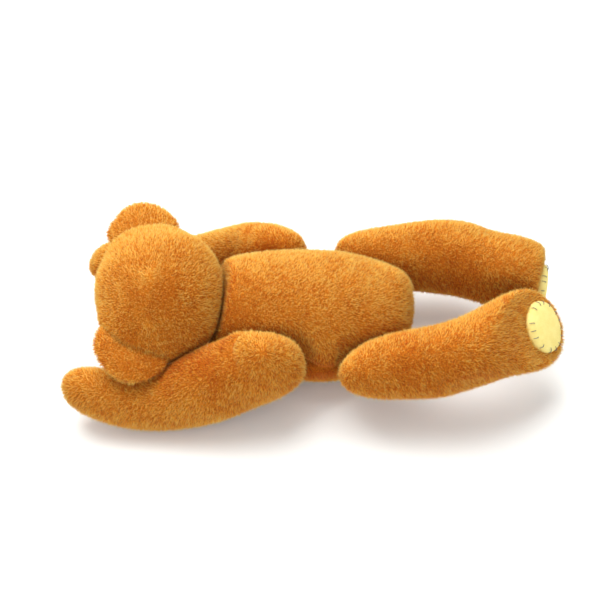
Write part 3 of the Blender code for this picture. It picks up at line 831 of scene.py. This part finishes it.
stitch, sewing = makeStitch(), stitchTree()
stitches = {}
for number, side in enumerate(("left", "right")):
    stitches[side] = growFrom(stitchLine(side, stitchForm["firstSeed"] + number), sewing, {
        "Stitch": stitch, "Material": stitchThread, "Turn": stitchForm["turn"],
        "Size Variation": stitchForm["sizeVariation"], "Seed": stitchForm["firstDraw"] + number})
print("pads stitched round")


# The pile: strands spread over a skin by one node tree

strandShape = {"sides": 3, "shadeWidth": 0.02, "upwardNormal": 0.6, "baseTop": 0.03}
coatLook = {
    "under": {"perSquareMm": 9.5, "length": 1.0, "width": 0.155, "spread": 0.45, "pale": -0.12},
    "top": {"perSquareMm": 10.5, "length": 1.4, "width": 0.14, "spread": 0.38, "pale": 0.08},
    "halo": {"perSquareMm": 3.0, "length": 1.65, "width": 0.11, "spread": 0.55, "pale": 0.6},
}
# By the labels of the tree's inputs: shares, and sizes in millimetres
coatShares = {
    "Length Variation": 0.35, "Nap": 0.35, "Wave": 0.7, "Clump": 1.4, "Shortest at Seam": 0.3,
    "Room Share": 0.55}
coatSizes = {"Wave Size": 3.0, "Clump Size": 0.5, "Table Gap": 0.06}
coatShared = {
    "paintedTopLight": 0.16, "roomLimit": 6.0, "paintedCreaseShade": -0.45, "creaseWithin": 1.7, "fewestWithin": 1.0,
    "fewest": 0.3, "shortAndShadedInCrease": 0.8, "whorlLean": 2.5, "whorlEye": 0.2, "soleWithin": 3.0,
    "soleEdge": 2.0, "baldWithin": 3.0, "baldEdge": 0.15, "facesPerPiece": 190000,
}
# The noises' spans that count, what they turn into, and the seeds of the draws
strandDraw = {
    "tuftSpan": (0.35, 0.65), "tuftHeight": (0.6, 1.08), "shadeSpan": (0.34, 0.66),
    "tuftMottleAndGapShade": (-0.55, 0.55), "driftScale": 150.0, "driftSpan": (0.3, 0.7), "driftShade": (0.3, 0.7),
    "ownShade": 0.48, "seamAndPaintedCreaseShade": -0.45, "darkest": 0.01, "palest": 0.97, "leastFall": 0.02,
    "leanSeed": 11, "lengthSeed": 5, "shadeSeed": 23, "spinSeed": 31,
}
# Where the pile parts in a whorl: place in millimetres, reach, how much paler
whorls = {
    "head": (((-38.3, -12.3, 38.8), 2.4, 0.6), ((-38.5, -19.3, 30), 2, 0.4)),
    "left_arm": (((-12.2, -24.6, 26.6), 5.5, 0.1),),
}
# Soft patches of painted shade and painted highlight on the pile: place, reach, change
paintedLightPatches = {
    "head": (((-34, -16.7, 34.5), 5.5, -0.25), ((-43.5, -17.5, 26.5), 4, -0.25)),
    "left_arm": (((-27, -21.5, 21.5), 6.5, -0.75), ((-20.5, -20, 24.5), 2.5, -0.6),
        ((-17.4, -22.5, 26.3), 1.6, 0.5), ((-14, -30, 16), 14, -0.15), ((-33, -23, 16), 5, -0.4)),
    "right_arm": (((-18.1, 15.5, 24.5), 2.5, 0.45), ((-24.5, 14.5, 19.5), 4, -0.3),
        ((-10.9, 12.5, 24), 3, -0.5), ((-30, 19, 22), 8, 0.25)),
    "left_leg": (((21.3, -24.4, 22.1), 6.5, -0.3), ((43.2, -20.2, 24.2), 5, -0.3),
        ((33, -25, 20), 16, -0.25)),
    "right_leg": (((31, 7.5, 21.5), 7, -0.4), ((41, 4, 20.5), 6, -0.35)),
    "body": (((-21, -9, 27), 5.5, -0.45), ((1, -18.6, 11), 5, -1.2)),
}


def makeStrand():
    # A closed spike one unit long and one unit wide; its map runs from root to tip
    sides, shape = strandShape["sides"], bmesh.new()
    tip = shape.verts.new((0.0, 0.0, 1.0))
    root = []
    for step in range(sides):
        angle = 2.0 * math.pi * step / sides
        root.append(shape.verts.new((0.5 * math.cos(angle), 0.5 * math.sin(angle), 0.0)))
    layer = shape.loops.layers.uv.new("OFBake")
    outline = [((root[step], root[(step + 1) % sides], tip), 1.0) for step in range(sides)]
    for corners, top in outline + [(root[::-1], strandShape["baseTop"])]:
        face = shape.faces.new(corners)
        for loop, at in zip(face.loops, ((0.0, 0.0), (1.0, 0.0), (0.5, top))):
            loop[layer].uv = at
    mesh = meshOf(shape, "strand")
    mesh.shade_smooth()
    # fine hair lets light through, so it is lit more as the cloth under it would be
    lit = []
    for vert in mesh.vertices:
        outward = Vector((vert.co.x, vert.co.y, 0.0)).normalized()
        lit.append((outward + up * strandShape["upwardNormal"]).normalized())
    mesh.normals_split_custom_set_from_vertices(lit)
    return newObject("strand", mesh)


def coatTree():
    look = strandDraw
    tree, given, result = newGroup(
        "pile coat", "GeometryNodeTree",
        {"Geometry": ("Skin",), "Object": ("Strand",), "Material": ("Material",),
         "Float": ("Density", "Length", "Width", "Spread", "Paleness", *coatShares, *coatSizes),
         "Int": ("Seed",)},
        {"Geometry": ("Geometry",)})
    density = maths(tree, "MULTIPLY", given["Density"], namedField(tree, "thick"))
    spots = addNode(tree, "GeometryNodeDistributePointsOnFaces", {
        "Mesh": given["Skin"], "Density": density, "Seed": given["Seed"]})
    position = addNode(tree, "GeometryNodeInputPosition").outputs[0]

    # no strand grows under a pad, an eye or the nose
    under = addNode(tree, "FunctionNodeCompare", {"A": namedField(tree, "bald"), "B": 0.5},
                    data_type="FLOAT", operation="GREATER_THAN").outputs[0]
    kept = addNode(tree, "GeometryNodeDeleteGeometry", {
        "Geometry": spots.outputs["Points"], "Selection": under}, domain="POINT").outputs[0]

    # each strand leans with the nap, with its clump and by itself
    lean = vectors(tree, "SCALE", namedField(tree, "nap", "FLOAT_VECTOR"), given["Nap"])
    way = vectors(tree, "ADD", spots.outputs["Normal"], lean)
    for kind in ("Wave", "Clump"):
        scale = maths(tree, "DIVIDE", 1.0, given[kind + " Size"])
        gathered = noise(tree, position, scale, 1.0, output="Color")
        gathered = vectors(tree, "SUBTRACT", gathered, (0.5, 0.5, 0.5))
        way = vectors(tree, "ADD", way, vectors(tree, "SCALE", gathered, given[kind]))
    own = addNode(tree, "FunctionNodeRandomValue", {
        "Min": (-1.0, -1.0, -1.0), "Max": (1.0, 1.0, 1.0), "Seed": look["leanSeed"]},
        data_type="FLOAT_VECTOR").outputs[0]
    way = vectors(tree, "ADD", way, vectors(tree, "SCALE", own, given["Spread"]))
    way = vectors(tree, "NORMALIZE", way)

    # tufts stand a little higher than the gaps between them
    tufts = noise(tree, position, maths(tree, "DIVIDE", 1.0, given["Clump Size"]), 2.0, 0.6)
    seam = namedField(tree, "seam")
    height = remapped(tree, seam, 0.0, 1.0, 1.0, given["Shortest at Seam"])
    tuftHeight = remapped(tree, tufts, *look["tuftSpan"], *look["tuftHeight"])
    height = maths(tree, "MULTIPLY", height, tuftHeight)
    shortest = maths(tree, "SUBTRACT", 1.0, given["Length Variation"])
    length = drawn(tree, shortest, 1.0, look["lengthSeed"])
    length = chained(tree, "MULTIPLY", length, given["Length"], height)
    # it stays within about half of the gap to the next piece, and above the table
    room = maths(tree, "MULTIPLY", namedField(tree, "room"), given["Room Share"])
    falls = maths(tree, "MULTIPLY", partsOf(tree, way)["Z"], -1.0)
    falls = maths(tree, "MAXIMUM", falls, look["leastFall"])
    above = maths(tree, "SUBTRACT", partsOf(tree, position)["Z"], given["Table Gap"])
    drop = maths(tree, "DIVIDE", above, falls)
    length = chained(tree, "MINIMUM", length, room, drop)

    # paleness drifts in patches, tuft by tuft and strand by strand; lower tufts are darker, as painted
    # shade in the gaps between them
    drift = noise(tree, position, look["driftScale"], 3.0, 0.65)
    shade = chained(
        tree, "ADD", remapped(tree, drift, *look["driftSpan"], *look["driftShade"]),
        remapped(tree, tufts, *look["shadeSpan"], *look["tuftMottleAndGapShade"]),
        drawn(tree, -look["ownShade"], look["ownShade"], look["shadeSeed"]),
        maths(tree, "MULTIPLY", seam, look["seamAndPaintedCreaseShade"]), namedField(tree, "fade"), given["Paleness"])
    shade = maths(tree, "MINIMUM", maths(tree, "MAXIMUM", shade, look["darkest"]), look["palest"])

    shaded = addNode(tree, "GeometryNodeStoreNamedAttribute", {
        "Geometry": kept, "Name": "shade", "Value": shade}, data_type="FLOAT", domain="POINT")
    turned = addNode(tree, "FunctionNodeAlignRotationToVector", {"Vector": way}, axis="Z").outputs[0]
    turned = spun(tree, turned, drawn(tree, 0.0, 2.0 * math.pi, look["spinSeed"]))
    size = addNode(tree, "ShaderNodeCombineXYZ", {
        "X": given["Width"], "Y": given["Width"], "Z": length}).outputs[0]
    planted = setOut(tree, shaded.outputs[0], given["Strand"], turned, size)

    # the map's first place says how pale a strand is, its second how far up the strand
    parts = partsOf(tree, namedField(tree, "OFBake", "FLOAT_VECTOR"))
    across = maths(
        tree, "MULTIPLY_ADD", parts["X"], strandShape["shadeWidth"], namedField(tree, "shade"))
    newMap = addNode(tree, "ShaderNodeCombineXYZ", {"X": across, "Y": parts["Y"]}).outputs[0]
    mapped = addNode(tree, "GeometryNodeStoreNamedAttribute", {
        "Geometry": planted, "Name": "OFBake", "Value": newMap}, data_type="FLOAT2", domain="CORNER")
    clean = addNode(tree, "GeometryNodeRemoveAttribute", {
        "Geometry": mapped.outputs[0], "Name": "shade"})
    return finishTree(tree, clean.outputs[0], given, result)


def roomOver(part):
    # How far it is from the cloth to the nearest other cloth, up to a limit
    co, limit = pointsOf(skins[part].data), coatShared["roomLimit"] * mm
    room = np.full(len(co), limit)
    for other, tree in trees.items():
        # the ear is sewn to the head, and their pile runs together
        if other == part or "ear" in part + other and "head" in part + other:
            continue
        for index, point in enumerate(co):
            away = tree.find_nearest(point, room[index])[3]
            if away is not None:
                room[index] = away
    return room


def baldUnder(co, piece):
    # Above one half inside a piece that sits on the cloth
    tree, edge = treeOf(piece), coatShared["baldEdge"] * mm
    bald = np.zeros(len(co))
    for index, point in enumerate(co):
        near, normal, _, away = tree.find_nearest(point, coatShared["baldWithin"] * mm)
        if near is not None:
            signed = math.copysign(away, (Vector(point) - near).dot(normal))
            bald[index] = min(1.0, max(0.0, 0.5 - 0.5 * (signed - edge) / mm))
    return bald


def baldSole(co, side):
    # Above one half under the foot pad
    sole = solePlace(side, 0.0)
    local = (co - np.array(sole.translation)) @ np.array(sole.to_3x3()) / mm
    across = np.hypot(local[:, 0] / padForm["length"], local[:, 1] / padForm["width"]) * 2.0
    bald = np.clip(0.5 + coatShared["soleEdge"] * (1.0 - across), 0.0, 1.0)
    return np.where(np.abs(local[:, 2]) < coatShared["soleWithin"], bald, 0.0)


def markSkin(part, napWay):
    # What the pile needs to know of each place on the cloth
    look, mesh = coatShared, skins[part].data
    co, normals = pointsOf(mesh), normalsOf(mesh)
    nap = np.tile(np.array(napWay), (len(co), 1))
    # painted light: cloth that faces up gets paler strands, as if lit from above
    fade = look["paintedTopLight"] * normals[:, 2]
    for centre, reach, paler in whorls.get(part, ()):
        out, away = fromCentre(co, centre)
        near = falloff(away, reach)
        fade += paler * near
        around = look["whorlLean"] * out / (away[:, None] + look["whorlEye"] * mm)
        nap += (around - nap) * near[:, None]
    # painted shade and painted highlights, patch by patch
    for centre, reach, change in paintedLightPatches.get(part, ()):
        fade += change * falloff(fromCentre(co, centre)[1], reach)
    room, seam, bald = roomOver(part), getAttribute(mesh, "seam"), np.zeros(len(co))
    # painted shade: cloth close to another piece gets darker strands, as in the shade between parts
    fade += look["paintedCreaseShade"] * (1.0 - room / (look["roomLimit"] * mm)) ** 1.5
    # painted shade: the crease share also darkens the strands, as the shade between parts would
    crease = 1.0 - room / (look["creaseWithin"] * mm)
    seam = np.maximum(seam, look["shortAndShadedInCrease"] * np.clip(crease, 0.0, 1.0))
    thick = np.clip(room / (look["fewestWithin"] * mm), look["fewest"], 1.0)
    if part.endswith("leg"):
        bald = baldSole(co, part.split("_")[0])
    if part == "head":
        for name in ("left_eye", "right_eye", "nose"):
            bald = np.maximum(bald, baldUnder(co, frame["nodes"][name]))
    # the tone attribute carries the whorls' paler pile together with painted light and painted shade
    for name, values in (("nap", nap), ("fade", fade), ("seam", seam), ("room", room),
                         ("bald", bald), ("thick", thick)):
        setAttribute(mesh, name, values)


coat = coatTree()
strand = makeStrand()
trees = {part: treeOf(skin) for part, skin in skins.items()}


def growCoat(name, skin, look, seed, share):
    return growFrom(newObject(name, skin.data.copy()), coat, {
        **coatShares, **{label: size * mm for label, size in coatSizes.items()},
        "Strand": strand, "Material": pile, "Density": look["perSquareMm"] * share / mm ** 2,
        "Length": look["length"] * mm, "Width": look["width"] * mm, "Spread": look["spread"],
        "Paleness": look["pale"], "Seed": seed})


coats = {}
for number, (part, skin) in enumerate(sorted(skins.items())):
    markSkin(part, napWays[part])
    coats[part] = []
    for kind, look in coatLook.items():
        area = sum(face.area for face in skin.data.polygons)
        facesInAll = 4.0 * area / mm ** 2 * look["perSquareMm"]
        split = math.ceil(facesInAll / coatShared["facesPerPiece"])
        for piece in range(split):
            name = f"{part}_{kind}coat" + (f"_{piece + 1}" if split > 1 else "")
            seed = 100 * number + 10 * piece + len(kind)
            coats[part].append(growCoat(name, skin, look, seed, 1.0 / split))
            print(f"{name}: {len(coats[part][-1].data.polygons)} faces")
print("pile grown")


# Bodies, the packed nodes that each new piece replaces, and their finishes

for part, skin in skins.items():
    body = "head" if part.endswith("ear") else part
    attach(skin, body)
    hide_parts(part if part.endswith("ear") else part + "_cover")
    for piece in coats[part]:
        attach(piece, body)
for side, pad in pads.items():
    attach(pad, side + "_leg")
    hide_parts(side + "_foot_pad")
    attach(stitches[side], side + "_leg")

nodeFinish = {
    "_stuffing": woodWool, "_disc": hardboard, "_washer": platedSteel, "_cotter_pin": platedSteel,
    "_eye": blackGlass, "nose": blackThread, "_cover": backing, "_ear": backing, "_pad": felt}
for name, node in frame["nodes"].items():
    for ending, finish in nodeFinish.items():
        if name.endswith(ending):
            node.data.materials.clear()
            node.data.materials.append(finish)
print("packed nodes given their finishes")


# Camera, lights and floor

view = {"lookAt": (-3.8, -2.5, 21.3), "distance": 255.0, "elevation": 45.0, "lens": 62.34,
        "clipStart": 0.01}
lights = {
    "key": {"at": (-130.0, 150.0, 620.0), "size": 500.0, "power": 4.3},
    "fill": {"at": (-140.0, -520.0, 330.0), "size": 500.0, "power": 0.6},
}
room = {"floorColour": (0.94, 0.965, 0.945), "lift": 0.06, "ambient": 0.72, "reach": 2.0}


def lookAlong(piece, target):
    piece.rotation_euler = (target - piece.location).to_track_quat("-Z", "Y").to_euler()


def makeCamera():
    data = bpy.data.cameras.new("camera")
    data.lens = view["lens"]
    data.clip_start = view["clipStart"]
    camera = newObject("camera", data)
    target = Vector(view["lookAt"]) * mm
    rise = math.radians(view["elevation"])
    away = Vector((0.0, -math.cos(rise), math.sin(rise)))
    camera.location = target + away * view["distance"] * mm
    lookAlong(camera, target)
    bpy.context.scene.camera = camera


def makeLights():
    for name, light in lights.items():
        data = bpy.data.lights.new(name, "AREA")
        data.energy = light["power"]
        data.size = light["size"] * mm
        lamp = newObject(name, data)
        lamp.location = Vector(light["at"]) * mm
        lookAlong(lamp, Vector(view["lookAt"]) * mm)
    world = bpy.data.worlds.new("studio")
    bpy.context.scene.world = world
    world.use_nodes = True
    tree = world.node_tree
    background = tree.nodes["Background"]
    background.inputs["Color"].default_value = (1.0, 1.0, 1.0, 1.0)
    path = addNode(tree, "ShaderNodeLightPath").outputs
    seen = chained(
        tree, "ADD", path["Is Camera Ray"], path["Is Glossy Ray"], path["Is Transmission Ray"])
    seen = maths(tree, "MINIMUM", seen, 1.0)
    strength = remapped(tree, seen, 0.0, 1.0, room["ambient"], 1.0)
    tree.links.new(strength, background.inputs["Strength"])


def makeFloor():
    mesh = bpy.data.meshes.new("floor")
    reach = room["reach"]
    corners = [(-reach, -reach, 0.0), (reach, -reach, 0.0), (reach, reach, 0.0), (-reach, reach, 0.0)]
    mesh.from_pydata(corners, [], [(0, 1, 2, 3)])
    floor = newObject("floor", mesh)
    material, tree, shader = newMaterial("pale floor", 0.9, specular=0.1)
    shader.inputs["Base Color"].default_value = (*room["floorColour"], 1.0)
    shader.inputs["Emission Color"].default_value = (1.0, 1.0, 1.0, 1.0)
    path = addNode(tree, "ShaderNodeLightPath").outputs
    lift = maths(tree, "MULTIPLY", path["Is Camera Ray"], room["lift"])
    tree.links.new(lift, shader.inputs["Emission Strength"])
    mesh.materials.append(material)


makeCamera()
makeLights()
makeFloor()
bpy.context.scene.view_settings.view_transform = "Standard"
# what the node trees repeated isn't a piece itself
for model in (strand, stitch):
    bpy.data.objects.remove(model)
print("camera, lights and floor set")
